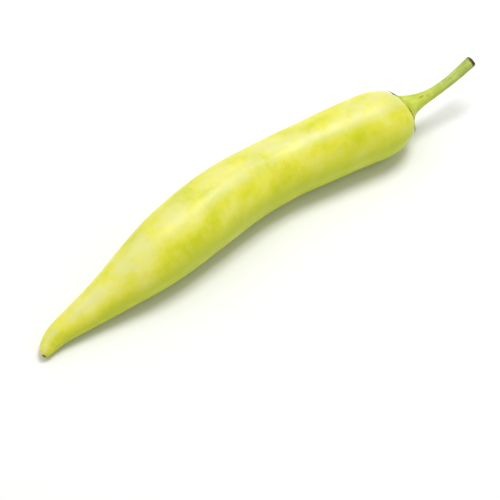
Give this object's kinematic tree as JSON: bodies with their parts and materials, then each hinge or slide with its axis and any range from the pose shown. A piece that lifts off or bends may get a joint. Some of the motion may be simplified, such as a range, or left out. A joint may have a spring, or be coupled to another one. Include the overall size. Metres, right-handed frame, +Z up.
{
  "type": "long chilli pepper",
  "caption": "Long pale green chilli pepper as picked, lying on its side: gently curved tapering pod, toothed calyx and upturned cut stem.",
  "frame": {"origin": "under the middle of the pepper's bounding box, on the surface that it lies on", "axes": "+X from the blossom tip towards the stem, +Z up; the pod's bend lies in the XY plane and bulges towards +Y"},
  "size_m": [0.1926, 0.033, 0.0253],
  "materials": {
    "pod_skin": "waxy pale yellow-green pepper skin",
    "calyx_green": "green calyx, satin, darker at its teeth",
    "stem_green": "green stem, satin, with a dried brown cut end"
  },
  "bodies": {
    "root": {"pod": "pod_skin", "calyx": "calyx_green", "stem": "stem_green"}
  },
  "joints": []
}
